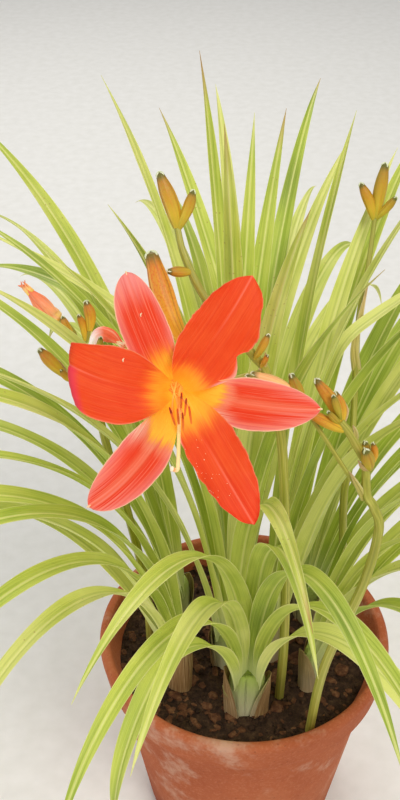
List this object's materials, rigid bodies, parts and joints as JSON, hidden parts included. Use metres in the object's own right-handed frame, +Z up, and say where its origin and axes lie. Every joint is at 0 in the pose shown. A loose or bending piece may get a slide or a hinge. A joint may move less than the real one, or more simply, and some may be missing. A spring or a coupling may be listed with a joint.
{
  "type": "daylily plant",
  "caption": "Daylily plant in a plain clay pot: arching strap leaves, branched stalks with buds, an open orange-red bloom with a golden throat, and withered blooms.",
  "frame": {"origin": "centre of the pot's flat underside", "axes": "+Z up along the pot's axis; the open bloom stands in front, towards -Y, and faces -Y and up; +X is to the viewer's right"},
  "size_m": [0.6432, 0.6282, 0.6334],
  "materials": {
    "terracotta": "matte",
    "soil": "matte",
    "leaf": "satin",
    "stalk": "satin",
    "petal": "satin",
    "withered": "matte"
  },
  "bodies": {
    "root": {"pot": "terracotta", "potting_soil": "soil", "leaf_fan_1": "leaf", "leaf_fan_2": "leaf", "leaf_fan_3": "leaf", "leaf_fan_4": "leaf", "leaf_fan_5": "leaf", "leaf_fan_6": "leaf", "leaf_fan_7": "leaf", "leaf_fan_8": "leaf", "leaf_fan_9": "leaf", "stalk_main": "stalk", "stalk_right": "stalk", "stalk_back": "stalk", "stalk_left": "stalk", "bloom": "petal", "withered_bloom_left": "withered", "withered_bloom_inner": "withered"}
  },
  "joints": []
}
